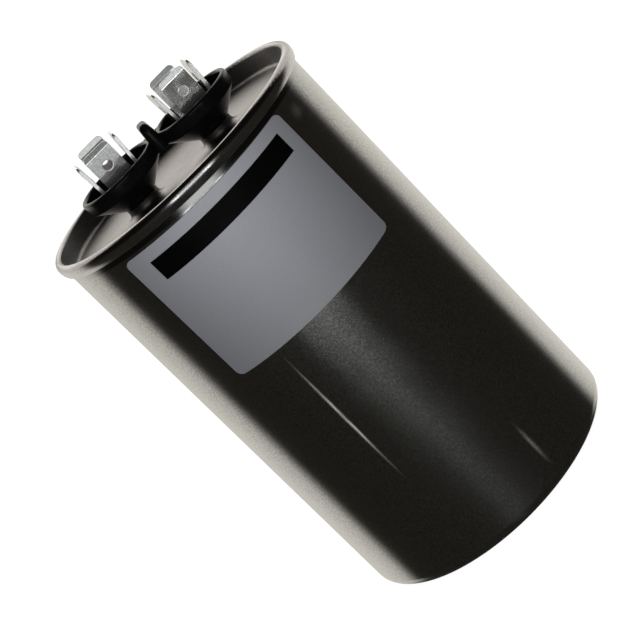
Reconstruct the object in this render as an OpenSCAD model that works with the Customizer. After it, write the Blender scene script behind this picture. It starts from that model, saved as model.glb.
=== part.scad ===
// Film capacitor in a round can with a double-seamed lid and two push-on blade terminals.
// Millimetres. The can's axis is Z, its base stands on Z = 0 and the label faces -Y.

/* [Can] */
// Outside diameter of the can
can_d = 63.5; // [52:0.5:80]
// Height from the base to the top of the seam
can_h = 100.2; // [70:0.1:140]
// Thickness of the can's wall
can_wall = 0.25; // [0.2:0.01:0.35]
// Radius of the rounded corner at the base
base_round = 2.6; // [1:0.1:6]
// Depth by which the wall is drawn in below the seam
neck_in = 0.1; // [0.05:0.01:0.3]
// Height of the drawn-in neck
neck_h = 1.25; // [0.8:0.05:3]
// Gap between the sealed contents and the lid
fill_gap = 0.2; // [0.1:0.05:0.5]

/* [Seam] */
// Height of the rolled seam
seam_h = 3.15; // [2.8:0.05:4]
// Radius of the seam's bulging outer face, seen in section
bulge_r = 3; // [2.6:0.1:5]
// Turn from level at which the seam's top runs into its bulging face, in degrees
shoulder_turn = 8; // [4:1:12]
// Radius of the seam's top on its inner side
rim_round = 0.68; // [0.66:0.01:0.9]
// Gap between the rolled layers, taken up by sealing compound
seam_gap = 0.05; // [0.04:0.01:0.07]
// Gap left beyond the free end of each rolled hook
hook_gap = 0.15; // [0.08:0.01:0.3]

/* [Lid] */
// Thickness of the lid's sheet
lid_t = 0.25; // [0.2:0.01:0.27]
// Depth of the lid's floor below the top of the seam
recess_depth = 4.75; // [4:0.05:8]
// Depth by which the lid's wall tapers inwards from the seam down to its floor
wall_taper = 0.4; // [0.1:0.05:0.8]
// Radius of the corner between the lid's wall and its floor
floor_round = 0.8; // [0.4:0.1:1.5]
// Height of the drawn collars above the lid's floor
collar_h = 2; // [1.6:0.1:3]
// Outside diameter of a collar
collar_d = 8; // [7:0.1:10]
// Radius of the flare at the foot of a collar
collar_flare = 1.3; // [0.6:0.1:1.5]

/* [Terminal insulator] */
// Distance between the two terminals' centres
terminal_pitch = 20.9; // [20:0.1:24]
// Outside diameter of a cup's rim
cup_d = 19.3; // [17:0.1:19.8]
// Height of a cup from its foot to its rim
cup_h = 7.5; // [6.5:0.1:10]
// Height of the band below a cup's rim
cup_band_h = 3; // [2:0.1:5]
// Draft of the band, which widens towards the rim, in degrees
cup_draft = 3; // [0:0.5:4]
// Radius of the corner below the band
cup_round = 0.8; // [0.3:0.1:1.5]
// Depth of a cup from its rim to its floor
cup_depth = 3.6; // [2:0.1:4.4]
// Thickness of a cup's wall
cup_wall = 1.2; // [0.8:0.1:1.6]
// Width by which a cup's foot overlaps its collar's edge
foot_lap = 0.16; // [0.1:0.01:0.19]
// Width of the barrier between the cups, at the height of the rims
barrier_w = 2.8; // [2.2:0.1:3.6]
// Width of the barrier at its rounded top
barrier_top_w = 2.2; // [1.4:0.1:2.2]
// Height of the barrier above the cups' rims
barrier_h = 3.6; // [2:0.1:8]
// Length of the barrier and its web, from front to back
barrier_l = 7.4; // [6:0.1:12]
// Radius of the barrier's top corners, front and back
barrier_round = 2.2; // [0.5:0.1:3]

/* [Terminals] */
// Width of a blade
blade_w = 6.35; // [4.7:0.05:6.4]
// Thickness of a blade and of the terminal's base
blade_t = 0.8; // [0.5:0.05:1]
// Height of the front and back blades' tips above the cup's floor
blade_h = 10.95; // [8:0.05:16]
// Height by which the side blades are shorter
side_drop = 0.7; // [0:0.1:2]
// Distance between opposite blades at their foot, middle to middle
blade_spread = 9; // [8.5:0.1:10]
// Outward lean of the blades, in degrees
blade_lean = 3.2; // [0:0.1:6]
// Inside radius of the bend at a blade's foot
blade_bend = 0.4; // [0.2:0.05:0.8]
// Height of the bevel at a blade's tip
tip_h = 1.1; // [0.5:0.1:2]
// Thickness of a blade at the end of its bevel
tip_t = 0.35; // [0.2:0.05:0.45]
// Radius of a blade's top corners
tip_round = 1; // [0.4:0.1:2]
// Diameter of the hole in a blade
blade_hole_d = 2.2; // [1.5:0.05:2.6]
// Drop from a blade's tip to the middle of its hole
blade_hole_drop = 4.3; // [3.2:0.1:6]
// Turn of the left terminal about its rivet, in degrees
left_turn = 1.5; // [-20:0.5:20]
// Turn of the right terminal about its rivet, in degrees
right_turn = 5.5; // [-20:0.5:20]

/* [Rivets and washers] */
// Diameter of a rivet's shank
rivet_d = 3.2; // [2.5:0.1:4]
// Diameter of a rivet's domed head
rivet_head_d = 5.6; // [5:0.1:6.4]
// Height of a rivet's domed head
rivet_head_h = 1.2; // [0.8:0.1:2]
// Diameter of a rivet's clinched end
clinch_d = 5.2; // [4.8:0.1:6]
// Height of a rivet's clinched end
clinch_h = 0.9; // [0.5:0.1:1.5]
// Diameter of a rubber seal under the lid
seal_d = 13.6; // [13.2:0.1:16]
// Thickness of a rubber seal
seal_t = 1.2; // [0.8:0.1:2]
// Diameter of a metal washer under a seal
washer_d = 8.4; // [7:0.1:12]
// Thickness of a metal washer
washer_t = 0.6; // [0.4:0.1:1]
// Gap around a rivet, sleeve, seal or washer in its hole
fit_gap = 0.1; // [0.05:0.01:0.2]

/* [Label] */
// Width of the label, measured around the can
label_w = 45.1; // [20:0.1:60]
// Height of the label
label_h = 32.4; // [15:0.1:55]
// Thickness of the label
label_t = 0.2; // [0.05:0.01:0.3]
// Radius of the label's corners
label_round = 1.3; // [0.5:0.1:5]
// Gap between the foot of the neck and the label's top edge
label_drop = 0.4; // [0.35:0.05:10]
// Turn of the label around the can, in degrees
label_turn = -0.8; // [-90:0.1:90]
// Lean of the label on the can, in degrees
label_lean = 0.8; // [-0.8:0.1:0.8]

/* [Hidden] */
$fn = 128;

can_r = can_d / 2;
neck_r = can_r - neck_in;
sides = [-1, 1];

// Radii of the seam's layers, from the lid's inner wall outwards
chuck_r = neck_r - can_wall - seam_gap;
rim_r = chuck_r - lid_t;
cover_hook_in = neck_r + seam_gap;
body_hook_in = cover_hook_in + lid_t + seam_gap;
panel_in = body_hook_in + can_wall + seam_gap;
seam_low_r = panel_in + lid_t;

// The lid's bend at the foot of the seam
seam_z = can_h - seam_h;
low_bend_r = (seam_low_r - cover_hook_in) / 2;
low_bend_mid = cover_hook_in + low_bend_r;
low_bend_z = seam_z + low_bend_r;

// Bends over the seam's top: a tight one inside, and a wide one outside that runs on into the bulging face
rim_bend_z = can_h - rim_round;
top_mid = rim_r + rim_round;
half_turn = 45 + shoulder_turn / 2;
bulge_reach = low_bend_mid - top_mid + bulge_r * cos(shoulder_turn);
bulge_drop = can_h - low_bend_z - bulge_r * sin(shoulder_turn);
bulge_span = bulge_r - low_bend_r;
foot_turn = acos((bulge_reach * cos(half_turn) - bulge_drop * sin(half_turn)) / bulge_span) - half_turn;
crown_r = (bulge_drop - bulge_span * sin(foot_turn)) / (1 - sin(shoulder_turn));
crown_mid = [top_mid, can_h - crown_r];
bulge_mid = crown_mid + (crown_r - bulge_r) * [cos(shoulder_turn), sin(shoulder_turn)];
lap = lid_t + seam_gap;
neck_z = seam_z - neck_h;

// Turn by which one bend of the seam runs on into the next, in degrees
bend_lap = 4;

// Levels of the lid and of what it carries
floor_z = can_h - recess_depth;
under_z = floor_z - lid_t;
fill_z = under_z - fill_gap;
wall_r = rim_r - wall_taper;
foot_z = floor_z + collar_h;
rim_z = foot_z + cup_h;
cup_floor_z = rim_z - cup_depth;
base_top_z = cup_floor_z + blade_t;
seal_z = under_z - seal_t;
washer_z = seal_z - washer_t;
clinch_z = washer_z - clinch_h;

// Radii of the collars, cups and holes
collar_r = collar_d / 2;
collar_in = collar_r - lid_t;
flare_r = collar_r + collar_flare;
flare_lap = 0.5;
sleeve_r = collar_in - fit_gap;
foot_r = collar_in + foot_lap;
cup_r = cup_d / 2;
cup_in = cup_r - cup_wall;
hole_r = rivet_d / 2 + fit_gap;

// A cup's taper: the foot of its band, its slope (radius per height), and its inner face's apex on the axis
band_z = rim_z - cup_band_h;
band_r = cup_r - tan(cup_draft) * (cup_band_h - cup_wall / 2);
taper_slope = (band_r - foot_r) / (band_z - foot_z);
taper_wall = cup_wall * sqrt(1 + taper_slope * taper_slope);
taper_z = band_z - (band_r - taper_wall) / taper_slope;
taper_turn = atan(taper_slope);

// The round corner between a cup's taper and its band: the ways that the two face, and the corner's centre
taper_way = [cos(taper_turn), -sin(taper_turn)];
band_way = [cos(cup_draft), -sin(cup_draft)];
corner_mid = [band_r, band_z] - cup_round * (taper_way + band_way) / (1 + taper_way * band_way);

// A bent blade: the bend's outer radius, its centre's distance from the rivet, and the straight lengths
bend_out = blade_bend + blade_t;
bend_mid = blade_spread / 2 + blade_t / 2 - bend_out;
blade_len = (blade_h - bend_out) / cos(blade_lean);
side_len = (blade_h - side_drop - bend_out) / cos(blade_lean);
blade_bevel = (blade_t - tip_t) / 2;

label_span = label_w / can_r * 180 / PI;
label_chord = 2 * can_r * sin(label_span / 2);
label_mid_z = neck_z - label_drop - label_h / 2;

// Section of a bent sheet: outer radius r, thickness t, between two angles less than half a turn apart
module bend(r, t, start, end) {
    step = (end - start) / 3;
    intersection() {
        difference() {
            circle(r);
            circle(r - t);
        }
        polygon([
            [0, 0],
            for (i = [0:3])
                2 * r * [cos(start + i * step), sin(start + i * step)]
        ]);
    }
}

// Section of a sheet rolled over the seam's top and down its bulging face, inset from the seam's outside
module rolled_sheet(inset, t, foot) {
    translate([top_mid, rim_bend_z])
        bend(rim_round - inset, t, 90, 180);
    translate(crown_mid)
        bend(crown_r - inset, t, shoulder_turn - bend_lap, 90);
    translate(bulge_mid)
        bend(bulge_r - inset, t, -foot, shoulder_turn);
}

// Upright rectangle of a section between two radii and two heights
module band(r0, r1, z0, z1) {
    translate([r0, z0])
        square([r1 - r0, z1 - z0]);
}

// Places its children at both terminals
module at_terminals() {
    for (side = sides)
        translate([side * terminal_pitch / 2, 0, 0])
            children();
}

// Half section inside the can's outer face, or inside its inner face where inset is the wall
module can_outline(inset) {
    polygon([
        [0, base_round],
        [can_r - inset, base_round],
        [can_r - inset, neck_z],
        [neck_r - inset, seam_z],
        [neck_r - inset, rim_bend_z],
        [0, rim_bend_z]
    ]);
}

// The can's half section: filled up to the lid, an open wall above, and the hook in the seam
module can_section() {
    difference() {
        can_outline(0);
        intersection() {
            can_outline(can_wall);
            band(0, can_r, fill_z, can_h);
        }
    }
    band(0, can_r - base_round, 0, 2 * base_round);
    translate([can_r - base_round, base_round])
        circle(base_round);
    rolled_sheet(lap, can_wall, foot_turn - hook_gap / bulge_r * 180 / PI);
}

// The drawn can and its sealed contents, with pockets for the ends of the rivets
module can() {
    color("dimgray")
        difference() {
            rotate_extrude()
                can_section();
            at_terminals() {
                translate([0, 0, seal_z - fit_gap])
                    cylinder(r = seal_d / 2 + fit_gap, h = seal_t + fit_gap);
                translate([0, 0, clinch_z - fit_gap])
                    cylinder(r = washer_d / 2 + fit_gap, h = washer_t + clinch_h + fit_gap);
            }
        }
}

module lid_section() {
    band(0, wall_r - floor_round, under_z, floor_z);
    translate([wall_r - floor_round, floor_z + floor_round])
        bend(floor_round + lid_t, lid_t, 270, 360);
    polygon([
        [wall_r, floor_z + floor_round],
        [wall_r + lid_t, floor_z + floor_round],
        [chuck_r, rim_bend_z],
        [rim_r, rim_bend_z]
    ]);
    rolled_sheet(0, lid_t, foot_turn);
    translate([low_bend_mid, low_bend_z])
        bend(low_bend_r, lid_t, 180, 360 - foot_turn + bend_lap);
    band(cover_hook_in, cover_hook_in + lid_t, low_bend_z, crown_mid[1] - hook_gap);
}

// A drawn collar with its flare and a narrow ring of the lid's floor
module collar_section() {
    band(flare_r, flare_r + 2 * flare_lap, under_z, floor_z);
    translate([flare_r, floor_z + collar_flare])
        bend(collar_flare + lid_t, lid_t, 180, 270);
    band(collar_in, collar_r, floor_z + collar_flare, foot_z);
}

// The pressed lid, rolled over the can's edge
module lid() {
    color("darkgray") {
        difference() {
            rotate_extrude()
                lid_section();
            at_terminals()
                translate([0, 0, under_z - lid_t])
                    cylinder(r = flare_r + flare_lap, h = 3 * lid_t);
        }
        at_terminals()
            rotate_extrude()
                collar_section();
    }
}

// The hollow of a cup: an upright wall, then a taper that keeps the wall's thickness, and a flat floor
module cup_hollow() {
    intersection() {
        band(0, cup_in, cup_floor_z, rim_z);
        polygon([
            [0, taper_z],
            [taper_slope * (rim_z - taper_z), rim_z],
            [0, rim_z]
        ]);
    }
}

// A cup's outside below its rim: the band with its round lower corner, the taper and the sleeve in the collar
module cup_outline() {
    polygon([
        [hole_r, under_z],
        [sleeve_r, under_z],
        [sleeve_r, foot_z],
        [foot_r, foot_z],
        corner_mid + cup_round * taper_way,
        corner_mid + cup_round * band_way,
        [cup_r, rim_z - cup_wall / 2],
        [hole_r, rim_z - cup_wall / 2]
    ]);
    translate(corner_mid)
        circle(cup_round);
}

// A cup with its hollow and its round rim
module cup_section() {
    difference() {
        cup_outline();
        cup_hollow();
    }
    translate([cup_r - cup_wall / 2, rim_z - cup_wall / 2])
        circle(cup_wall / 2);
}

// Front view of the barrier: tapered sides and a round top
module barrier_front() {
    top_r = barrier_top_w / 2;
    polygon([
        [-barrier_w / 2, band_z],
        [barrier_w / 2, band_z],
        [barrier_w / 2, rim_z],
        [top_r, rim_z + barrier_h - top_r],
        [-top_r, rim_z + barrier_h - top_r],
        [-barrier_w / 2, rim_z]
    ]);
    translate([0, rim_z + barrier_h - top_r])
        circle(top_r);
}

// Side view of the barrier: a plate with two round top corners
module barrier_side() {
    corner_y = barrier_l / 2 - barrier_round;
    top_z = rim_z + barrier_h;
    translate([-barrier_l / 2, band_z])
        square([barrier_l, cup_band_h + barrier_h - barrier_round]);
    translate([-corner_y, rim_z])
        square([2 * corner_y, barrier_h]);
    for (side = sides)
        translate([side * corner_y, top_z - barrier_round])
            circle(barrier_round);
}

// Plan of the barrier: a bar with two round ends
module barrier_plan() {
    end_y = barrier_l / 2 - barrier_w / 2;
    square([barrier_w, 2 * end_y], center = true);
    for (side = sides)
        translate([0, side * end_y])
            circle(barrier_w / 2);
}

// The upright barrier that stands on the web between the cups
module barrier() {
    intersection() {
        rotate([90, 0, 0])
            linear_extrude(2 * barrier_l, center = true)
                barrier_front();
        rotate([90, 0, 90])
            linear_extrude(2 * barrier_w, center = true)
                barrier_side();
        linear_extrude(rim_z + 2 * barrier_h)
            barrier_plan();
    }
}

// The web that joins the two cups, open where the cups are open
module web() {
    web_l = barrier_l - barrier_w;
    difference() {
        translate([-terminal_pitch / 2, -web_l / 2, band_z])
            cube([terminal_pitch, web_l, cup_band_h - cup_wall / 2]);
        at_terminals()
            cylinder(r = cup_r - cup_wall / 2, h = 2 * rim_z);
    }
}

// The twin-cup moulding
module terminal_insulator() {
    color([0.08, 0.08, 0.08]) {
        at_terminals()
            rotate_extrude()
                cup_section();
        web();
        barrier();
    }
}

// Side view of one blade with its half of the base: base, bend, leaning blade and bevelled tip
module blade_section(length) {
    band(0, bend_mid, 0, blade_t);
    translate([bend_mid, bend_out]) {
        intersection() {
            difference() {
                circle(bend_out);
                circle(blade_bend);
            }
            polygon([
                [0, 0],
                [0, -2 * bend_out],
                [2 * bend_out, -2 * bend_out],
                [2 * bend_out * cos(blade_lean), -2 * bend_out * sin(blade_lean)]
            ]);
        }
        rotate(-blade_lean)
            translate([blade_bend, 0])
                polygon([
                    [0, 0],
                    [blade_t, 0],
                    [blade_t, length - tip_h],
                    [blade_t - blade_bevel, length],
                    [blade_bevel, length],
                    [0, length - tip_h]
                ]);
    }
}

// What is cut from one blade: its two top corners and its hole, through the leaning sheet
module blade_cuts(length) {
    translate([bend_mid, 0, bend_out])
        rotate([0, blade_lean, 0])
            rotate([90, 0, 90])
                linear_extrude(4 * bend_out, center = true) {
                    for (side = sides)
                        translate([side * (blade_w / 2 - tip_round), length - tip_round])
                            difference() {
                                translate([side > 0 ? 0 : -2 * tip_round, 0])
                                    square(2 * tip_round);
                                circle(tip_round);
                            }
                    translate([0, length - blade_hole_drop])
                        circle(blade_hole_d / 2);
                }
}

module blade(length) {
    difference() {
        rotate([90, 0, 0])
            linear_extrude(blade_w, center = true)
                blade_section(length);
        blade_cuts(length);
    }
}

// A stamped terminal: two side blades, a front and a back blade, bent up from one base with a rivet hole
module terminal(turn) {
    translate([0, 0, cup_floor_z])
        rotate(turn)
            difference() {
                for (quarter = [0:3])
                    rotate(90 * quarter)
                        blade(quarter % 2 == 0 ? side_len : blade_len);
                translate([0, 0, -blade_t])
                    cylinder(r = hole_r, h = 3 * blade_t);
            }
}

module left_terminal() {
    color("silver")
        translate([-terminal_pitch / 2, 0, 0])
            terminal(left_turn);
}

module right_terminal() {
    color("silver")
        translate([terminal_pitch / 2, 0, 0])
            terminal(right_turn);
}

// A rivet's half section: domed head, shank and clinched end
module rivet_section() {
    head_r = rivet_head_d / 2;
    dome_r = (head_r * head_r + rivet_head_h * rivet_head_h) / (2 * rivet_head_h);
    intersection() {
        translate([0, base_top_z + rivet_head_h - dome_r])
            circle(dome_r);
        band(0, head_r, base_top_z, base_top_z + rivet_head_h);
    }
    band(0, rivet_d / 2, clinch_z, base_top_z);
    band(0, clinch_d / 2, clinch_z, washer_z);
}

// Two rivets that hold the terminals, cups, lid, seals and washers together
module terminal_rivets() {
    color("gainsboro")
        at_terminals()
            rotate_extrude()
                rivet_section();
}

// Two rubber washers under the lid
module inner_seals() {
    color([0.15, 0.15, 0.15])
        at_terminals()
            rotate_extrude()
                band(hole_r, seal_d / 2, seal_z, under_z);
}

// Two metal washers under the seals
module backing_washers() {
    color("lightgray")
        at_terminals()
            rotate_extrude()
                band(hole_r, washer_d / 2, washer_z, seal_z);
}

// Flat outline of the label: a rectangle with round corners
module label_outline() {
    corner = [label_chord / 2 - label_round, label_h / 2 - label_round];
    square([label_chord, 2 * corner[1]], center = true);
    square([2 * corner[0], label_h], center = true);
    for (across = sides, up = sides)
        translate([across * corner[0], up * corner[1]])
            circle(label_round);
}

// The label, a thin sheet that follows the can's wall
module label() {
    color([0.55, 0.55, 0.58])
        rotate(label_turn)
            intersection() {
                translate([0, 0, label_mid_z - label_h])
                    rotate_extrude()
                        band(can_r, can_r + label_t, 0, 2 * label_h);
                translate([0, 0, label_mid_z])
                    rotate([90, -label_lean, 0])
                        linear_extrude(can_d)
                            label_outline();
            }
}

can();
lid();
terminal_insulator();
left_terminal();
right_terminal();
terminal_rivets();
inner_seals();
backing_washers();
label();
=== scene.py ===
import functools
import math

import bpy
from bpy.props import FloatProperty, FloatVectorProperty, IntProperty, PointerProperty
from bpy.types import Operator, Panel, PropertyGroup
from mathutils import Matrix, Vector


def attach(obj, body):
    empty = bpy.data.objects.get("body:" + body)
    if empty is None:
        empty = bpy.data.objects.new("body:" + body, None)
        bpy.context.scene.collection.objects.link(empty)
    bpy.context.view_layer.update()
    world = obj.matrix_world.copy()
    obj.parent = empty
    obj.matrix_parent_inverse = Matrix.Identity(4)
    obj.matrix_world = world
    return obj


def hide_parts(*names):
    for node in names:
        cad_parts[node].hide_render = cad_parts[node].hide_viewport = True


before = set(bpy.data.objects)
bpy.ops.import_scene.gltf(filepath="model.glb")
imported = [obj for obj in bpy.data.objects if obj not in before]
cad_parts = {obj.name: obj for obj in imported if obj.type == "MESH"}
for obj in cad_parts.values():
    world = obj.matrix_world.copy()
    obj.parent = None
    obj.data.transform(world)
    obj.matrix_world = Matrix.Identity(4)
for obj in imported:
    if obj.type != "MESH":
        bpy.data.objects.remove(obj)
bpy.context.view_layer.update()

bl_info = {
    "name": "Film Capacitor",
    "version": (1, 0, 0),
    "blender": (4, 5, 0),
    "location": "3D View > Sidebar > Capacitor",
    "description": "Gives the packed solids of a round film capacitor their finish, label and terminals",
    "category": "Object",
}

BODY = "root"
CUT_EDGE = "cut_edge"
MM = 0.001
WHITE = (1.0, 1.0, 1.0)
SENSOR_WIDTH = 36
MERGE_DISTANCE = 0.001 * MM
SAME_PLACE_DIGITS = 6

# How finely the curved outlines are stepped
BEND_STEPS = 10
CORNER_STEPS = 6
RIVET_HOLE_STEPS = 8
HOLE_STEP_DEGREES = 10
LABEL_COLUMNS = 48
LABEL_ROWS = 8
FLOOR_SIDES = 96

# From which angle an edge is softened on a terminal, or kept sharp on the label
SOFTENED_FROM = math.radians(30)
SHARP_FROM = math.radians(40)


def length(name, description, millimetres):
    """A length that a user would change, stated in millimetres."""
    return FloatProperty(name=name, description=description, default=millimetres * MM, unit="LENGTH")


def angle(name, description, degrees):
    """An angle that a user would change, stated in degrees."""
    return FloatProperty(name=name, description=description, default=math.radians(degrees), unit="ROTATION")


def colour(name, description, value):
    """A colour that a user would change."""
    return FloatVectorProperty(name=name, description=description, default=value, size=3, min=0, max=1,
                               subtype="COLOR")


def point(name, description, metres):
    """A place in the scene that a user would change."""
    return FloatVectorProperty(name=name, description=description, default=metres, size=3,
                               subtype="TRANSLATION")


def share(name, description, value):
    """A share of 0 to 1 that a user would change."""
    return FloatProperty(name=name, description=description, default=value, min=0, max=1, subtype="FACTOR")


def level(name, description, value):
    """A strength of light that a user would change."""
    return FloatProperty(name=name, description=description, default=value, min=0)


class TerminalSizes(PropertyGroup):
    """Sizes of the two stamped terminals, as the solids have them, and of their softened edges."""

    pairs: IntProperty(name="Pairs", description="Pairs of neighbouring blades on one terminal", default=2)
    width: length("Blade width", "Width of a blade", 6.35)
    sheet: length("Sheet", "Thickness of the terminal's sheet", 0.8)
    height: length("Height", "Height of the front and back blades' tips above the cup's floor", 10.95)
    side_drop: length("Side drop", "Height by which the side blades are shorter", 0.7)
    spread: length("Spread", "Distance between opposite blades at their foot", 9)
    lean: angle("Lean", "Outward lean of the blades", 3.2)
    bend: length("Bend", "Inside radius of the bend at a blade's foot", 0.4)
    tip_height: length("Tip height", "Height of the bevel at a blade's tip", 1.1)
    tip_sheet: length("Tip sheet", "Thickness at the end of the bevel", 0.35)
    tip_round: length("Tip round", "Radius of a blade's top corners", 1)
    hole: length("Hole", "Diameter of the hole in a blade", 2.2)
    hole_drop: length("Hole drop", "Drop from a blade's tip to its hole", 4.3)
    rivet_hole: length("Rivet hole", "Diameter of the hole in the base", 3.4)
    crease: length("Crease", "Width of the soft crease beside a bend or bevel", 0.06)
    edge: length("Edge", "Width of the worn stamped edges", 0.07)
    pitch: length("Pitch", "Distance between the terminals' centres", 20.9)
    floor: length("Cup floor", "Height of the cups' floor above the base", 101.35)
    left_turn: angle("Left turn", "Turn of the left terminal about its rivet", 1.5)
    right_turn: angle("Right turn", "Turn of the right terminal about its rivet", 5.5)


class LabelSizes(PropertyGroup):
    """Sizes of the label, as its solid has them, and of its printed bar."""

    can: length("Can diameter", "Diameter of the wall that the label is stuck on", 63.5)
    width: length("Width", "Width of the label around the can", 45.1)
    height: length("Height", "Height of the label", 32.4)
    sheet: length("Sheet", "Thickness of the label", 0.2)
    corner: length("Corner", "Radius of the label's corners", 1.3)
    middle: length("Middle", "Height of the label's middle above the base", 79.2)
    turn: angle("Turn", "Turn of the label around the can", -0.8)
    lean: angle("Lean", "Lean of the label on the can", 0.8)
    bar_left: length("Bar left", "Way round the can from the label's middle to the bar's left end", 17.6)
    bar_right: length("Bar right", "Way round the can from the label's middle to the bar's right end", 19.1)
    bar_low: length("Bar low", "Height of the bar's lower edge above the label's middle", 8.7)
    bar_high: length("Bar high", "Height of the bar's upper edge above the label's middle", 13.5)


class WearAndHighlights(PropertyGroup):
    """Scuffs and a smudge on the can's wall, and where the metal is burnished; the scuffs' pale colour is
    partly wear and partly a painted highlight.
    """

    # The left and right scuffs are painted pale and almost non-metal: partly wear, partly a painted
    # highlight of bright upright streaks.
    left_turn: angle("Left scuff turn", "Place of the left scuff around the can", -22.5)
    left_height: length("Left scuff height", "Height of the left scuff's middle", 42.8)
    left_width: length("Left scuff width", "Half width of the left scuff", 0.48)
    left_reach: length("Left scuff reach", "Half length of the left scuff", 20.5)
    left_strength: share("Left scuff strength", "Share of the metal that the left scuff bares", 1)
    right_turn: angle("Right scuff turn", "Place of the right scuff around the can", 20.1)
    right_height: length("Right scuff height", "Height of the right scuff's middle", 10.9)
    right_width: length("Right scuff width", "Half width of the right scuff", 0.75)
    right_reach: length("Right scuff reach", "Half length of the right scuff", 7)
    right_strength: share("Right scuff strength", "Share of the metal that the right scuff bares", 0.55)
    smudge_turn: angle("Smudge turn", "Place of the smudge around the can", 47.9)
    smudge_height: length("Smudge height", "Height of the smudge's middle", 92.2)
    smudge_width: length("Smudge width", "Half width of the smudge", 2)
    smudge_reach: length("Smudge reach", "Half length of the smudge", 2.2)
    smudge_strength: share("Smudge strength", "Share of the metal that the smudge dulls", 0.18)
    neck: length("Neck", "Height of the neck's foot, above which the can is burnished", 95.8)
    seam: length("Seam", "Distance from the axis beyond which the lid's seam is burnished", 31.2)
    # This pale colour is partly worn metal and partly a painted highlight on the scuffs.
    pale: colour("Scuffed metal", "Colour of the rubbed metal", (0.95, 0.9, 0.83))


class Finishes(PropertyGroup):
    """Colours of the capacitor's finishes and of the floor."""

    can_metal: colour("Can", "Dark satin metal of the can", (0.186, 0.186, 0.183))
    lid_metal: colour("Lid", "Satin metal of the lid and its seam", (0.225, 0.216, 0.219))
    plastic: colour("Insulator", "Black moulded plastic of the cups", (0.003, 0.003, 0.003))
    plating: colour("Terminals", "Bright plating of the blades", (0.77, 0.77, 0.78))
    rivet: colour("Rivets", "Metal of the rivets and washers", (0.6, 0.6, 0.6))
    rubber: colour("Seals", "Rubber under the lid", (0.03, 0.03, 0.03))
    label: colour("Label", "Grey of the label", (0.2, 0.203, 0.222))
    ink: colour("Ink", "Black of the printed bar", (0.001, 0.001, 0.001))
    floor: colour("Floor", "Pale floor of the stage", WHITE)


class Studio(PropertyGroup):
    """Where the camera and the lights stand, and how strong the lights are."""

    position: point("Camera", "Place of the camera", (0, -0.41595, 0.17702))
    elevation: angle("Elevation", "Downward look of the camera", 16.707)
    yaw: angle("Yaw", "Sideways look of the camera", -0.275)
    roll: angle("Roll", "Tilt of the picture", 44.767)
    lens: FloatProperty(name="Lens", description="Focal length on a 36 mm sensor", default=115.974,
                        unit="CAMERA")
    floor_radius: length("Floor", "Radius of the floor", 6000)
    dark: level("Dark", "Light from the studio's dark front and sides", 0.056)
    overhead: level("Overhead", "Light from the dark space overhead", 0.014)
    back: level("Back", "Light from the white sheets behind the part, at their sides", 1.5)
    back_low: level("Back low", "Light from the foot of the sheets straight behind", 0.57)
    back_high: level("Back high", "Light from the sheets straight behind, above the part", 2.2)
    sheets_turn: angle("Sheets turn", "Turn of the sheets around the part", 1.7)
    lamps: level("Lamps", "Light from the two upright lamps in front", 6.0)
    card: level("Card", "Light from the white card between the lamps", 2.5)
    glow: level("Glow", "Light from below the lamps", 0.64)
    key: level("Key", "Light from the small lamp above the card", 0.84)
    room_tint: colour("Room tint", "Colour of the light from the dark room", (1.0, 0.93, 0.79))
    back_tint: colour("Back tint", "Colour of the light from behind", (1.0, 0.967, 0.885))
    lamp_tint: colour("Lamp tint", "Colour of the light from the lamps", (0.96, 1.0, 0.985))
    lamps_turn: angle("Lamps turn", "Turn of the lamps around the part", -3)
    front: FloatProperty(name="Front lamp", description="Power of the soft lamp over the camera's side",
                         default=0.064, min=0, unit="POWER")
    front_size: length("Front lamp size", "Width of the soft lamp over the camera's side", 40)
    front_at: point("Front lamp place", "Place of the soft lamp", (-0.004, -0.1, 0.115))
    front_aim: point("Front lamp aim", "Place on the can that the soft lamp faces", (0, -0.0318, 0.08))


class Settings(PropertyGroup):
    """All that a user would change."""

    terminals: PointerProperty(type=TerminalSizes)
    label: PointerProperty(type=LabelSizes)
    wear_and_highlights: PointerProperty(type=WearAndHighlights)
    finishes: PointerProperty(type=Finishes)
    studio: PointerProperty(type=Studio)


class Wiring:
    """Adds nodes to a tree and joins them."""

    def __init__(self, tree):
        self.tree = tree
        tree.nodes.clear()

    def add(self, kind, **values):
        """A new node with its properties set."""
        node = self.tree.nodes.new(kind)
        for key, value in values.items():
            setattr(node, key, value)
        return node

    def join(self, source, target):
        """Joins an output to an input, or sets the input to a number, vector or colour."""
        if isinstance(source, bpy.types.NodeSocket):
            self.tree.links.new(source, target)
        elif target.type == "RGBA":
            target.default_value = (*source, 1)
        else:
            target.default_value = source

    def math(self, operation, *values):
        """One step of arithmetic on outputs or numbers."""
        node = self.add("ShaderNodeMath", operation=operation)
        for socket, value in zip(node.inputs, values):
            self.join(value, socket)
        return node.outputs[0]

    def ramp(self, value, start, end, low=0.0, high=1.0, smooth=True):
        """Maps a value between start and end onto low to high, and holds it there."""
        node = self.add("ShaderNodeMapRange", interpolation_type="SMOOTHSTEP" if smooth else "LINEAR")
        self.join(value, node.inputs["Value"])
        for name, limit in zip(("From Min", "From Max", "To Min", "To Max"), (start, end, low, high)):
            self.join(limit, node.inputs[name])
        return node.outputs["Result"]

    def between(self, part, low, high):
        """A value that goes evenly from low to high as part goes from 0 to 1."""
        return self.ramp(part, 0, 1, low, high, smooth=False)


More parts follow.
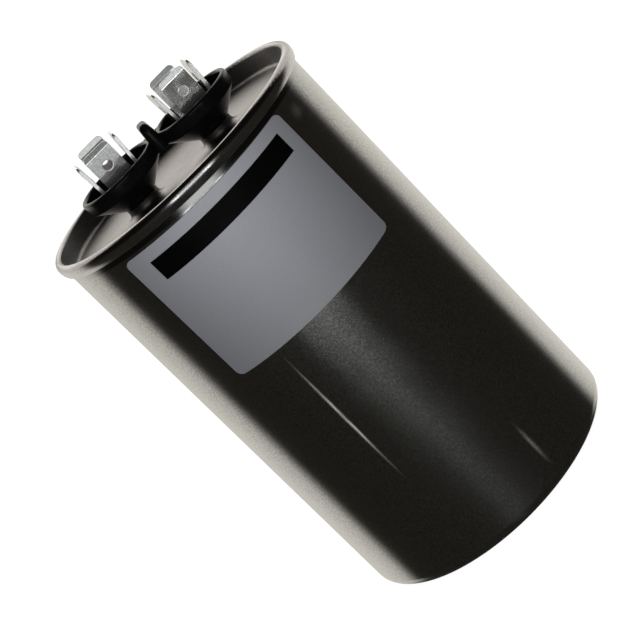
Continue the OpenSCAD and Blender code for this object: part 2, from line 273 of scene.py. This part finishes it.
class Finish(Wiring):
    """A material with one shader, patterned on the part's own coordinates."""

    NOISE_SPAN = (0.3, 0.7)

    def __init__(self, name):
        self.material = bpy.data.materials.new(name)
        self.material.use_nodes = True
        super().__init__(self.material.node_tree)
        self.shader = self.add("ShaderNodeBsdfPrincipled")
        output = self.add("ShaderNodeOutputMaterial")
        self.join(self.shader.outputs["BSDF"], output.inputs["Surface"])
        self.place = self.add("ShaderNodeTexCoord").outputs["Object"]

    def set(self, **values):
        """Sets or joins the shader's inputs."""
        sockets = {socket.name.lower().replace(" ", "_"): socket for socket in self.shader.inputs}
        for name, value in values.items():
            self.join(value, sockets[name])

    def vector_math(self, operation, *values):
        """One step of arithmetic on vectors."""
        node = self.add("ShaderNodeVectorMath", operation=operation)
        for socket, value in zip(node.inputs, values):
            self.join(value, socket)
        return node.outputs["Value" if operation == "LENGTH" else "Vector"]

    def height(self):
        """Height above the part's base, in metres."""
        node = self.add("ShaderNodeSeparateXYZ")
        self.join(self.place, node.inputs["Vector"])
        return node.outputs["Z"]

    def radius(self):
        """Distance from the part's upright axis, in metres."""
        return self.vector_math("LENGTH", self.vector_math("MULTIPLY", self.place, (1, 1, 0)))

    def noise(self, grain, detail=2.0, stretch=(1, 1, 1)):
        """Noise with grains of the given size in metres, stretched along the axes, spread over 0 to 1."""
        node = self.add("ShaderNodeTexNoise")
        squeeze = tuple(1 / factor for factor in stretch)
        self.join(self.vector_math("MULTIPLY", self.place, squeeze), node.inputs["Vector"])
        node.inputs["Scale"].default_value = 1 / grain
        node.inputs["Detail"].default_value = detail
        return self.ramp(node.outputs["Fac"], *self.NOISE_SPAN, smooth=False)

    def drift(self, size, low, high, detail=2.0):
        """A value that drifts between low and high over patches of the given size in metres."""
        return self.ramp(self.noise(size, detail), 0, 1, low, high)

    def spot(self, middle, reach):
        """1 in the middle of a spot, 0 at its reach in each direction."""
        away = self.vector_math("SUBTRACT", self.place, middle)
        shares = self.vector_math("MULTIPLY", away, tuple(1 / size for size in reach))
        return self.ramp(self.vector_math("LENGTH", shares), 0, 1, 1, 0)

    def mix(self, factor, first, second):
        """A colour between two colours."""
        node = self.add("ShaderNodeMix", data_type="RGBA")
        first_input, second_input = (socket for socket in node.inputs if socket.type == "RGBA")
        self.join(factor, node.inputs["Factor"])
        self.join(first, first_input)
        self.join(second, second_input)
        return next(socket for socket in node.outputs if socket.type == "RGBA")

    def tones(self, factor, value, darker, lighter):
        """A colour that varies between a darker and a lighter tone."""
        return self.mix(factor, shade(value, darker), shade(value, lighter))

    def relief(self, height, depth, strength):
        """A fine relief of the given depth in metres."""
        node = self.add("ShaderNodeBump")
        node.inputs["Strength"].default_value = strength
        node.inputs["Distance"].default_value = depth
        self.join(height, node.inputs["Height"])
        self.set(normal=node.outputs["Normal"])


def shade(value, factor):
    """A colour made darker or lighter."""
    return tuple(min(1, channel * factor) for channel in value)


def on_wall(sizes, turn, height):
    """A place on the can's wall, by its turn around the can and its height."""
    radius = sizes.can / 2
    return (radius * math.sin(turn), -radius * math.cos(turn), height)


def can_metal(value, label, wear_and_highlights):
    """Dark satin sheet metal with a fine grain, an uneven gloss and a few scuffs, burnished at the neck.
    The two upright scuffs are painted pale and almost non-metal, so they are partly wear and partly a
    painted highlight of bright streaks.
    """
    made = Finish("can_metal")
    fade = 0.3 * MM
    even_tone = 0.5
    thinnest = 0.55
    worn_and_highlit_metallic = 0.1
    worn_and_highlit_roughness = 0.5
    grain = made.ramp(made.height(), wear_and_highlights.neck - fade, wear_and_highlights.neck, made.noise(0.4 * MM), even_tone)
    satin = made.drift(9 * MM, low=0.137, high=0.157, detail=3)
    streaks = made.noise(0.5 * MM, detail=3, stretch=(1, 1, 9))
    marks = 0.0
    for mark in ("left", "right", "smudge"):
        turn, height, width, reach, strength = (
            getattr(wear_and_highlights, f"{mark}_{size}") for size in ("turn", "height", "width", "reach", "strength"))
        depth = 2 * width
        spot = made.spot(on_wall(label, turn, height), (width, depth, reach))
        marks = made.math("MAXIMUM", marks, made.math("MULTIPLY", spot, strength))
    # Where the scuffs lie, the metal is painted pale and almost non-metal: partly wear, partly a painted
    # highlight of bright streaks. The smudge is wear only.
    worn_and_highlit = made.math("MULTIPLY", marks, made.between(streaks, thinnest, 1))
    metal = made.tones(grain, value, darker=0.68, lighter=1.32)
    made.set(metallic=made.between(worn_and_highlit, 1, worn_and_highlit_metallic),
             base_color=made.mix(worn_and_highlit, metal, wear_and_highlights.pale),
             roughness=made.between(worn_and_highlit, satin, worn_and_highlit_roughness))
    made.relief(grain, depth=0.004 * MM, strength=0.15)
    return made.material


def lid_metal(value, wear_and_highlights):
    """Satin metal of the pressed lid, burnished where the seam was rolled."""
    made = Finish("lid_metal")
    fade = 0.2 * MM
    rolled_roughness = 0.16
    grain = made.noise(0.3 * MM, detail=3)
    satin = made.drift(7 * MM, low=0.36, high=0.44, detail=3)
    rolled = made.ramp(made.radius(), wear_and_highlights.seam - fade, wear_and_highlights.seam + fade)
    made.set(metallic=1, base_color=made.tones(grain, value, darker=0.7, lighter=1.3),
             roughness=made.between(rolled, satin, rolled_roughness))
    made.relief(grain, depth=0.004 * MM, strength=0.1)
    return made.material


def moulded_plastic(value):
    """Black moulded plastic with a slightly uneven gloss."""
    made = Finish("insulator_plastic")
    clouds = made.noise(3 * MM, detail=3)
    made.set(base_color=made.tones(clouds, value, darker=0.8, lighter=1.3), specular_ior_level=0.1,
             roughness=made.ramp(clouds, 0, 1, low=0.16, high=0.24))
    made.relief(made.noise(0.25 * MM), depth=0.004 * MM, strength=0.1)
    return made.material


def plated_metal(name, value, dull, metallic=1.0):
    """Bright plating over rolled sheet, brushed upright and mottled, and dull where the sheet was cut."""
    made = Finish(name)
    unevenness = 0.03
    darkest = 0.1
    cut_roughness = 0.4
    brushed = made.noise(0.2 * MM, stretch=(1, 1, 10))
    mottle = made.noise(0.4 * MM, detail=3)
    pattern = made.between(mottle, darkest, brushed)
    cut = made.add("ShaderNodeAttribute", attribute_name=CUT_EDGE).outputs["Fac"]
    rolled = made.drift(2.5 * MM, low=dull - unevenness, high=dull + unevenness)
    made.set(metallic=metallic, base_color=made.tones(pattern, value, darker=0.76, lighter=1.24),
             roughness=made.between(cut, rolled, cut_roughness))
    made.relief(pattern, depth=0.003 * MM, strength=0.06)
    return made.material


def seal_rubber(value):
    """Matte rubber of the inner seals."""
    made = Finish("seal_rubber")
    grain = made.noise(0.4 * MM, detail=3)
    made.set(base_color=made.tones(grain, value, darker=0.8, lighter=1.2), roughness=0.75)
    made.relief(grain, depth=0.01 * MM, strength=0.4)
    return made.material


def label_film(name, value, gloss):
    """Satin film of the label, plain or printed."""
    made = Finish(name)
    grain = made.noise(0.3 * MM, detail=3)
    made.set(base_color=made.tones(grain, value, darker=0.96, lighter=1.04), specular_ior_level=gloss,
             roughness=made.drift(8 * MM, low=0.4, high=0.5))
    made.relief(grain, depth=0.003 * MM, strength=0.2)
    return made.material


def floor_paper(value):
    """Matte paper of the stage, which gives off its own even light so that it stays plain."""
    made = Finish("floor_paper")
    lit_share = 0.1
    made.set(base_color=shade(value, lit_share), roughness=0.9,
             emission_color=value, emission_strength=0.98)
    return made.material


def add_object(name, data):
    """A new object at the origin, in the scene."""
    made = bpy.data.objects.new(name, data)
    bpy.context.scene.collection.objects.link(made)
    return made


def finish_node(name, material):
    """Gives a solid that stays in view its finish."""
    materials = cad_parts[name].data.materials
    materials.clear()
    materials.append(material)


def plain_mesh(piece):
    """Turns a piece with modifiers into a plain mesh."""
    evaluated = piece.evaluated_get(bpy.context.evaluated_depsgraph_get())
    mesh = bpy.data.meshes.new_from_object(evaluated)
    mesh.name = piece.name
    piece.modifiers.clear()
    piece.data = mesh


def stand_for(piece, node):
    """The piece rides on the part's body in place of a solid."""
    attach(piece, BODY)
    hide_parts(node)


class Layout:
    """A flat layout of a sheet: its points, its faces, their inks and the edges that get no wall."""

    def __init__(self):
        self.points = []
        self.faces = []
        self.inks = []
        self.open_edges = set()
        self.known = {}

    def point(self, at):
        """The number of the point at a place, made if it isn't there."""
        key = tuple(round(value / MM, SAME_PLACE_DIGITS) for value in at)
        if key not in self.known:
            self.known[key] = len(self.points)
            self.points.append(at)
        return self.known[key]

    def face(self, loop, ink=0):
        """Adds a face, counter-clockwise."""
        self.faces.append([self.point(at) for at in loop])
        self.inks.append(ink)

    def strip(self, rows, half):
        """Adds a strip of faces, as wide as twice half, between neighbouring rows."""
        for near, far in zip(rows, rows[1:]):
            self.face([(near, -half), (far, -half), (far, half), (near, half)])

    def leave_open(self, first, second):
        """An edge that another copy of the sheet shares."""
        self.open_edges.add((self.point(first), self.point(second)))

    def add_to(self, sheets, place):
        """Adds the closed sheet, where place gives a flat point's top and bottom."""
        first = len(sheets.points)
        under = first + len(self.points)
        tops, bottoms = zip(*(place(*at) for at in self.points))
        edges = {(face[i - 1], face[i]) for face in self.faces for i in range(len(face))}
        rims = sorted((a, b) for a, b in edges - self.open_edges if (b, a) not in edges)
        sheets.points += [*tops, *bottoms]
        sheets.faces += [[first + i for i in face] for face in self.faces]
        sheets.faces += [[under + i for i in reversed(face)] for face in self.faces]
        sheets.faces += [[first + a, under + a, under + b, first + b] for a, b in rims]
        sheets.inks += self.inks + [0] * (len(self.faces) + len(rims))
        sheets.cut += [0.0] * (2 * len(self.faces)) + [1.0] * len(rims)


class Sheets:
    """Closed sheets that become one mesh, with their inks and a mark on each face that was cut."""

    def __init__(self):
        self.points = []
        self.faces = []
        self.inks = []
        self.cut = []

    def mesh(self, name):
        """The sheets as one smooth mesh."""
        made = bpy.data.meshes.new(name)
        made.from_pydata(self.points, [], self.faces)
        made.polygons.foreach_set("material_index", self.inks)
        made.polygons.foreach_set("use_smooth", [True] * len(self.inks))
        made.attributes.new(CUT_EDGE, "FLOAT", "FACE").data.foreach_set("value", self.cut)
        return made


def arc(middle, radius, start, end, steps):
    """Points on an arc, both ends included; angles in degrees."""
    turns = [math.radians(start + (end - start) * i / steps) for i in range(steps + 1)]
    return [(middle[0] + radius * math.cos(a), middle[1] + radius * math.sin(a)) for a in turns]


class BladePath:
    """Where a terminal's sheet runs: flat from the rivet, round the bend and up the leaning blade."""

    def __init__(self, sizes, height, facing):
        outer = sizes.bend + sizes.sheet
        self.facing = Matrix.Rotation(facing, 3, "Z")
        self.sheet = sizes.sheet
        self.floor = sizes.floor
        self.radius = sizes.bend + sizes.sheet / 2
        self.turn = math.pi / 2 - sizes.lean
        self.bend_at = sizes.spread / 2 + sizes.sheet / 2 - outer
        self.bend_z = outer
        self.blade_at = self.bend_at + self.radius * self.turn
        self.end = self.blade_at + (height - outer) / math.cos(sizes.lean)
        self.tip_at = self.end - sizes.tip_height
        self.thinning = (sizes.sheet - sizes.tip_sheet) / sizes.tip_height

    def place(self, along, across):
        """The inner and outer point of the sheet at a distance along it and across it."""
        turn = min(max((along - self.bend_at) / self.radius, 0), self.turn)
        rise = max(along - self.blade_at, 0)
        x = min(along, self.bend_at) + self.radius * math.sin(turn) + rise * math.cos(turn)
        z = self.floor + self.bend_z - self.radius * math.cos(turn) + rise * math.sin(turn)
        half = (self.sheet - self.thinning * max(along - self.tip_at, 0)) / 2
        middle = Vector((x, across, z))
        inwards = Vector((-math.sin(turn), 0, math.cos(turn)))
        return self.facing @ (middle + inwards * half), self.facing @ (middle - inwards * half)


def hole_field(flat, sizes, hole_at):
    """Adds the faces round a blade's hole, and gives the lower and the upper border of their field."""
    radius = sizes.hole / 2
    reach = sizes.hole
    half = sizes.width / 2
    upper_left, lower_left, lower_right, upper_right = 45, 135, 225, 315
    corners = {upper_left, lower_left, lower_right, upper_right}
    turns = sorted(corners.union(range(0, 360, HOLE_STEP_DEGREES)))
    hole = []
    border = []
    for turn in turns:
        along = math.cos(math.radians(turn))
        across = math.sin(math.radians(turn))
        far = 1 / max(abs(along), abs(across))
        hole.append((hole_at + radius * along, radius * across))
        border.append((hole_at + reach * along * far, half * across * far))
    for i in range(len(turns)):
        flat.face([hole[i - 1], border[i - 1], border[i], hole[i]])
    lower = [at for turn, at in zip(turns, border) if lower_left <= turn <= lower_right]
    upper = [at for turn, at in zip(turns, border) if turn <= upper_left or turn >= upper_right]
    return sorted(lower, key=lambda at: at[1]), sorted(upper, key=lambda at: -at[1])


def blade_layout(sizes, path):
    """Flat layout of one blade of a terminal with its quarter of the base."""
    half = sizes.width / 2
    flat = Layout()

    quarter = arc((0, 0), sizes.rivet_hole / 2, 45, -45, RIVET_HOLE_STEPS)
    flat.face([(half, -half), (half, half), *quarter])
    flat.leave_open((half, half), quarter[0])
    flat.leave_open(quarter[-1], (half, -half))

    step = (path.blade_at - path.bend_at) / BEND_STEPS
    bend = [path.bend_at + step * i for i in range(BEND_STEPS + 1)]
    foot = path.blade_at + sizes.crease
    flat.strip([half, *bend, foot], half)

    lower, upper = hole_field(flat, sizes, path.end - sizes.hole_drop)
    flat.face([(foot, -half), *lower, (foot, half)])
    crease = [path.tip_at - sizes.crease, path.tip_at, path.tip_at + sizes.crease / 3]
    flat.face([(crease[0], -half), (crease[0], half), *upper])
    flat.strip(crease, half)

    corner = half - sizes.tip_round
    corner_at = path.end - sizes.tip_round
    flat.face([(crease[-1], -half), *arc((corner_at, -corner), sizes.tip_round, -90, 0, CORNER_STEPS),
               *arc((corner_at, corner), sizes.tip_round, 0, 90, CORNER_STEPS), (crease[-1], half)])
    return flat


def blade_pair(sizes):
    """A side blade and its neighbour at the back, each with its quarter of the base."""
    sheets = Sheets()
    for height, facing in ((sizes.height - sizes.side_drop, 0), (sizes.height, math.pi / 2)):
        path = BladePath(sizes, height, facing)
        blade_layout(sizes, path).add_to(sheets, path.place)
    return sheets.mesh("blade_pair")


def terminal_tree():
    """Geometry nodes that set pairs of blades round the rivet and join the copies into one terminal."""
    tree = bpy.data.node_groups.new("Blade Terminal", "GeometryNodeTree")
    wiring = Wiring(tree)
    sockets = {}
    for name, kind in (("Pair", "Geometry"), ("Pairs", "Int"), ("Turn", "Float"), ("Centre", "Vector"),
                       ("Plating", "Material")):
        sockets[name] = tree.interface.new_socket(name, in_out="INPUT", socket_type=f"NodeSocket{kind}")
    tree.interface.new_socket("Terminal", in_out="OUTPUT", socket_type="NodeSocketGeometry")
    given = wiring.add("NodeGroupInput").outputs
    points = wiring.add("GeometryNodePoints")
    wiring.join(given["Pairs"], points.inputs["Count"])
    wiring.join(given["Centre"], points.inputs["Position"])
    index = wiring.add("GeometryNodeInputIndex").outputs["Index"]
    step = wiring.math("DIVIDE", math.tau, given["Pairs"])
    turn = wiring.math("MULTIPLY_ADD", index, step, given["Turn"])
    upright = wiring.add("ShaderNodeCombineXYZ")
    wiring.join(turn, upright.inputs["Z"])
    copies = wiring.add("GeometryNodeInstanceOnPoints")
    wiring.join(points.outputs["Points"], copies.inputs["Points"])
    wiring.join(given["Pair"], copies.inputs["Instance"])
    wiring.join(upright.outputs["Vector"], copies.inputs["Rotation"])
    real = wiring.add("GeometryNodeRealizeInstances")
    wiring.join(copies.outputs["Instances"], real.inputs["Geometry"])
    whole = wiring.add("GeometryNodeMergeByDistance")
    wiring.join(real.outputs["Geometry"], whole.inputs["Geometry"])
    whole.inputs["Distance"].default_value = MERGE_DISTANCE
    plated = wiring.add("GeometryNodeSetMaterial")
    wiring.join(whole.outputs["Geometry"], plated.inputs["Geometry"])
    wiring.join(given["Plating"], plated.inputs["Material"])
    wiring.join(plated.outputs["Geometry"], wiring.add("NodeGroupOutput").inputs["Terminal"])
    return tree, {name: socket.identifier for name, socket in sockets.items()}


def build_terminal(name, side, turn, sizes, tree, inputs, material):
    """One stamped terminal with softened edges."""
    piece = add_object(name, blade_pair(sizes))
    copier = piece.modifiers.new("Blade Terminal", "NODES")
    copier.node_group = tree
    copier[inputs["Pairs"]] = sizes.pairs
    copier[inputs["Turn"]] = turn
    copier[inputs["Centre"]] = (side * sizes.pitch / 2, 0, 0)
    copier[inputs["Plating"]] = material
    plain_mesh(piece)
    edges = piece.modifiers.new("Stamped edges", "BEVEL")
    edges.width = sizes.edge
    edges.segments = 2
    edges.limit_method = "ANGLE"
    edges.angle_limit = SOFTENED_FROM
    edges.harden_normals = True
    plain_mesh(piece)
    return piece


def label_mesh(sizes):
    """The label with its printed bar, from a flat layout wrapped round the can."""
    radius = sizes.can / 2
    half = radius * math.sin(sizes.width / 2 / radius)
    top = sizes.height / 2
    corner = sizes.corner
    left, right = (radius * math.sin(reach / radius) for reach in (-sizes.bar_left, sizes.bar_right))
    flat = Layout()
    inner = half - corner
    columns = [inner * (2 * i / LABEL_COLUMNS - 1) for i in range(LABEL_COLUMNS + 1)]
    columns = sorted([-half, half, left, right, *columns])
    below_bar = sizes.bar_low + top - corner
    rows = [corner - top + below_bar * i / LABEL_ROWS for i in range(1, LABEL_ROWS)]
    rows = sorted([-top, corner - top, sizes.bar_low, sizes.bar_high, top - corner, top, *rows])
    for u0, u1 in zip(columns, columns[1:]):
        for v0, v1 in zip(rows, rows[1:]):
            if max(abs(u0), abs(u1)) > inner and max(abs(v0), abs(v1)) > top - corner:
                continue
            printed = u0 >= left and u1 <= right and v0 >= sizes.bar_low and v1 <= sizes.bar_high
            flat.face([(u0, v0), (u1, v0), (u1, v1), (u0, v1)], int(printed))
    for turn, across, up in ((0, 1, 1), (90, -1, 1), (180, -1, -1), (270, 1, -1)):
        middle = (across * inner, up * (top - corner))
        flat.face([middle, *arc(middle, corner, turn, turn + 90, CORNER_STEPS)])

    def place(u, v):
        """A flat point's place on the label's face, and on the can under it."""
        x = u * math.cos(sizes.lean) - v * math.sin(sizes.lean)
        z = u * math.sin(sizes.lean) + v * math.cos(sizes.lean) + sizes.middle
        around = math.asin(x / radius) + sizes.turn
        outwards = Vector((math.sin(around), -math.cos(around), 0))
        foot = Vector((0, 0, z)) + outwards * radius
        return foot + outwards * sizes.sheet, foot

    sheets = Sheets()
    flat.add_to(sheets, place)
    return sheets.mesh("label_film")


def turned(first, second, turn):
    """Two directions turned in the plane that they span."""
    c = math.cos(turn)
    s = math.sin(turn)
    return c * first - s * second, s * first + c * second


def camera_turn(studio):
    """The camera's axes: right, up and back, as the columns of a matrix."""
    ahead = Vector((0, math.cos(studio.elevation), -math.sin(studio.elevation)))
    right = Vector((1, 0, 0))
    up = right.cross(ahead)
    right, ahead = turned(right, ahead, studio.yaw)
    right, up = turned(right, up, studio.roll)
    return Matrix((right, up, -ahead)).transposed()


class StudioLight(Wiring):
    """The studio's light by direction: degrees around from the camera's side, and degrees up.

    A pair of angles is where a light starts to change and where it has changed.
    """

    ROOM_DARKENS = (-11, -7)

    SHEETS_SIDE = (109.5, 127)
    SHEETS_MIDDLE = (132, 180)
    SHEETS_RISE = (5, 22)
    SHEETS_FOOT = (-42, -30)
    SHEETS_TOP = (42, 58)

    FRONT_FOOT = (-13.4, -11.8)
    FRONT_TOP = (13, 19)

    LAMP_ASIDE = 16
    LAMP_SIDE = (1, 6)
    LAMP_DIMS = (-6, -4)
    LAMP_DIMMED = 0.14

    CARD_SIDE = (10, 16)
    CARD_DIMS = (0, 4)
    CARD_DIMMED = 0.08

    GLOW_MIDDLE = (0, 18)
    GLOW_BESIDE = 0.05
    GLOW_SIDE = (30, 75)
    GLOW_FOOT = (-18, -15)
    GLOW_LOW = 0.25
    GLOW_FLOOR = (-24, -19)
    GLOW_AT_FLOOR = 0.35
    GLOW_TOP = (-11, -6)

    KEY_RISE = 21
    KEY_SIDE = (4, 24)
    KEY_BAND = (4, 9)

    def __init__(self, tree):
        super().__init__(tree)
        way = self.add("ShaderNodeSeparateXYZ")
        self.join(self.add("ShaderNodeTexCoord").outputs["Generated"], way.inputs["Vector"])
        towards = self.math("MULTIPLY", way.outputs["Y"], -1)
        self.around = self.math("DEGREES", self.math("ARCTAN2", way.outputs["X"], towards))
        self.rise = self.math("DEGREES", self.math("ARCSINE", way.outputs["Z"]))

    def off(self, value, middle):
        """How far a value is from a middle one, to either side."""
        return self.math("ABSOLUTE", self.math("SUBTRACT", value, middle))

    def product(self, *factors):
        """All factors multiplied."""
        return functools.reduce(functools.partial(self.math, "MULTIPLY"), factors)

    def total(self, *lights):
        """All lights added up."""
        return functools.reduce(functools.partial(self.math, "ADD"), lights)

    def room(self, studio):
        """The dark studio, darkest overhead."""
        return self.ramp(self.rise, *self.ROOM_DARKENS, studio.dark, studio.overhead)

    def sheets(self, studio):
        """White sheets that stand in a half circle behind the part."""
        aside = self.off(self.around, math.degrees(studio.sheets_turn))
        middle = self.ramp(self.rise, *self.SHEETS_RISE, studio.back_low, studio.back_high)
        strength = self.ramp(aside, *self.SHEETS_MIDDLE, studio.back, middle)
        side = self.ramp(aside, *self.SHEETS_SIDE)
        foot = self.ramp(self.rise, *self.SHEETS_FOOT)
        top = self.ramp(self.rise, *self.SHEETS_TOP, 1, 0)
        return self.product(strength, side, foot, top)

    def lamps(self, studio):
        """Two upright lamps in front, with the card between, the glow below and the small lamp above."""
        aside = self.off(self.around, math.degrees(studio.lamps_turn))
        foot = self.ramp(self.rise, *self.FRONT_FOOT)
        top = self.ramp(self.rise, *self.FRONT_TOP, 1, 0)
        lamps = self.product(
            self.ramp(self.off(aside, self.LAMP_ASIDE), *self.LAMP_SIDE, studio.lamps, 0), foot, top,
            self.ramp(self.rise, *self.LAMP_DIMS, 1, self.LAMP_DIMMED))
        card = self.product(
            self.ramp(aside, *self.CARD_SIDE, studio.card, 0), foot, top,
            self.ramp(self.rise, *self.CARD_DIMS, 1, self.CARD_DIMMED))
        glow = self.product(
            self.ramp(aside, *self.GLOW_MIDDLE, 1, self.GLOW_BESIDE),
            self.ramp(aside, *self.GLOW_SIDE, 1, 0),
            self.ramp(self.rise, *self.GLOW_FOOT, self.GLOW_LOW * studio.glow, studio.glow),
            self.ramp(self.rise, *self.GLOW_FLOOR, self.GLOW_AT_FLOOR, 1),
            self.ramp(self.rise, *self.GLOW_TOP, 1, 0))
        key = self.product(
            self.ramp(aside, *self.KEY_SIDE, studio.key, 0),
            self.ramp(self.off(self.rise, self.KEY_RISE), *self.KEY_BAND, 1, 0))
        return self.total(lamps, card, glow, key)

    def background(self, value, strength):
        """A background of one colour, as strong as the given light."""
        node = self.add("ShaderNodeBackground")
        self.join(value, node.inputs["Color"])
        self.join(strength, node.inputs["Strength"])
        return node.outputs["Background"]


def studio_world(studio):
    """The studio around the part, plain white where the camera sees past the floor."""
    world = bpy.data.worlds.new("studio")
    world.use_nodes = True
    light = StudioLight(world.node_tree)
    whole = light.background(studio.room_tint, light.room(studio))
    lights = ((studio.back_tint, light.sheets(studio)), (studio.lamp_tint, light.lamps(studio)))
    for tint, strength in lights:
        both = light.add("ShaderNodeAddShader")
        light.join(whole, both.inputs[0])
        light.join(light.background(tint, strength), both.inputs[1])
        whole = both.outputs[0]
    seen = light.add("ShaderNodeMixShader")
    light.join(light.add("ShaderNodeLightPath").outputs["Is Camera Ray"], seen.inputs[0])
    light.join(whole, seen.inputs[1])
    light.join(light.background(WHITE, 1.0), seen.inputs[2])
    light.join(seen.outputs[0], light.add("ShaderNodeOutputWorld").inputs["Surface"])
    return world


def front_lamp(studio):
    """A soft lamp over the camera's side that lights what is matt and isn't mirrored in the metal."""
    data = bpy.data.lights.new("front_lamp", "AREA")
    data.shape = "DISK"
    data.size = studio.front_size
    data.energy = studio.front
    lamp = add_object("front_lamp", data)
    lamp.location = studio.front_at
    ahead = Vector(studio.front_aim) - lamp.location
    lamp.rotation_euler = ahead.to_track_quat("-Z", "Y").to_euler()
    lamp.visible_glossy = False
    lamp.visible_camera = False


class CAPACITOR_OT_can(Operator):
    """Give the can its dark satin metal"""

    bl_idname = "capacitor.can"
    bl_label = "Finish the Can"

    def execute(self, context):
        settings = context.scene.capacitor
        finish_node("can", can_metal(settings.finishes.can_metal, settings.label, settings.wear_and_highlights))
        return {"FINISHED"}


class CAPACITOR_OT_lid(Operator):
    """Give the pressed lid and its rolled seam their satin metal"""

    bl_idname = "capacitor.lid"
    bl_label = "Finish the Lid"

    def execute(self, context):
        settings = context.scene.capacitor
        finish_node("lid", lid_metal(settings.finishes.lid_metal, settings.wear_and_highlights))
        return {"FINISHED"}


class CAPACITOR_OT_insulator(Operator):
    """Give the twin-cup insulator its black plastic"""

    bl_idname = "capacitor.insulator"
    bl_label = "Finish the Insulator"

    def execute(self, context):
        finish_node("terminal_insulator", moulded_plastic(context.scene.capacitor.finishes.plastic))
        return {"FINISHED"}


class CAPACITOR_OT_terminals(Operator):
    """Build the two stamped terminals with their blades"""

    bl_idname = "capacitor.terminals"
    bl_label = "Build the Terminals"

    def execute(self, context):
        settings = context.scene.capacitor
        sizes = settings.terminals
        tree, inputs = terminal_tree()
        material = plated_metal("terminal_metal", settings.finishes.plating, dull=0.08, metallic=0.95)
        for name, side, turn in (("left", -1, sizes.left_turn), ("right", 1, sizes.right_turn)):
            piece = build_terminal(f"{name}_blades", side, turn, sizes, tree, inputs, material)
            stand_for(piece, f"{name}_terminal")
        return {"FINISHED"}


class CAPACITOR_OT_fixings(Operator):
    """Give the rivets, washers and seals their finishes"""

    bl_idname = "capacitor.fixings"
    bl_label = "Finish the Fixings"

    def execute(self, context):
        finishes = context.scene.capacitor.finishes
        finish_node("terminal_rivets", plated_metal("rivet_metal", finishes.rivet, dull=0.34))
        finish_node("backing_washers", plated_metal("washer_metal", finishes.rivet, dull=0.4))
        finish_node("inner_seals", seal_rubber(finishes.rubber))
        return {"FINISHED"}


class CAPACITOR_OT_label(Operator):
    """Build the label with its printed bar"""

    bl_idname = "capacitor.label"
    bl_label = "Build the Label"

    def execute(self, context):
        settings = context.scene.capacitor
        piece = add_object("label_film", label_mesh(settings.label))
        piece.data.materials.append(label_film("label_grey", settings.finishes.label, gloss=0.4))
        piece.data.materials.append(label_film("label_black", settings.finishes.ink, gloss=0.05))
        piece.data.set_sharp_from_angle(angle=SHARP_FROM)
        stand_for(piece, "label")
        return {"FINISHED"}


class CAPACITOR_OT_stage(Operator):
    """Lay the floor, light the studio and place the camera"""

    bl_idname = "capacitor.stage"
    bl_label = "Set the Stage"

    def execute(self, context):
        scene = context.scene
        studio = scene.capacitor.studio
        rim = arc((0, 0), studio.floor_radius, 0, 360, FLOOR_SIDES)[:-1]
        mesh = bpy.data.meshes.new("floor")
        mesh.from_pydata([(x, y, 0) for x, y in rim], [], [range(len(rim))])
        floor = add_object("floor", mesh)
        mesh.materials.append(floor_paper(scene.capacitor.finishes.floor))
        floor.visible_glossy = False
        floor.visible_shadow = False
        floor.visible_diffuse = False
        scene.world = studio_world(studio)
        front_lamp(studio)
        data = bpy.data.cameras.new("camera")
        data.sensor_width = SENSOR_WIDTH
        data.lens = studio.lens
        camera = add_object("camera", data)
        camera.matrix_world = Matrix.Translation(studio.position) @ camera_turn(studio).to_4x4()
        scene.camera = camera
        scene.view_settings.view_transform = "Standard"
        return {"FINISHED"}


OPERATORS = (
    CAPACITOR_OT_can,
    CAPACITOR_OT_lid,
    CAPACITOR_OT_insulator,
    CAPACITOR_OT_terminals,
    CAPACITOR_OT_fixings,
    CAPACITOR_OT_label,
    CAPACITOR_OT_stage,
)


class CAPACITOR_PT_panel(Panel):
    """Lists the capacitor's settings and steps"""

    bl_idname = "CAPACITOR_PT_panel"
    bl_label = "Film Capacitor"
    bl_space_type = "VIEW_3D"
    bl_region_type = "UI"
    bl_category = "Capacitor"

    def draw(self, context):
        settings = context.scene.capacitor
        groups = (settings.terminals, settings.label, settings.wear_and_highlights, settings.finishes, settings.studio)
        for group in groups:
            box = self.layout.box()
            for name in group.bl_rna.properties.keys():
                if name not in ("rna_type", "name"):
                    box.prop(group, name)
        for operator in OPERATORS:
            self.layout.operator(operator.bl_idname)


CLASSES = (TerminalSizes, LabelSizes, WearAndHighlights, Finishes, Studio, Settings, *OPERATORS, CAPACITOR_PT_panel)


def register():
    """Makes the classes and the scene's settings known."""
    for cls in CLASSES:
        bpy.utils.register_class(cls)
    bpy.types.Scene.capacitor = PointerProperty(type=Settings)


def unregister():
    """Takes the settings and the classes away again."""
    del bpy.types.Scene.capacitor
    for cls in reversed(CLASSES):
        bpy.utils.unregister_class(cls)


def main():
    """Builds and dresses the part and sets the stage."""
    register()
    for operator in OPERATORS:
        getattr(bpy.ops.capacitor, operator.bl_idname.split(".")[1])()


if __name__ == "__main__":
    main()
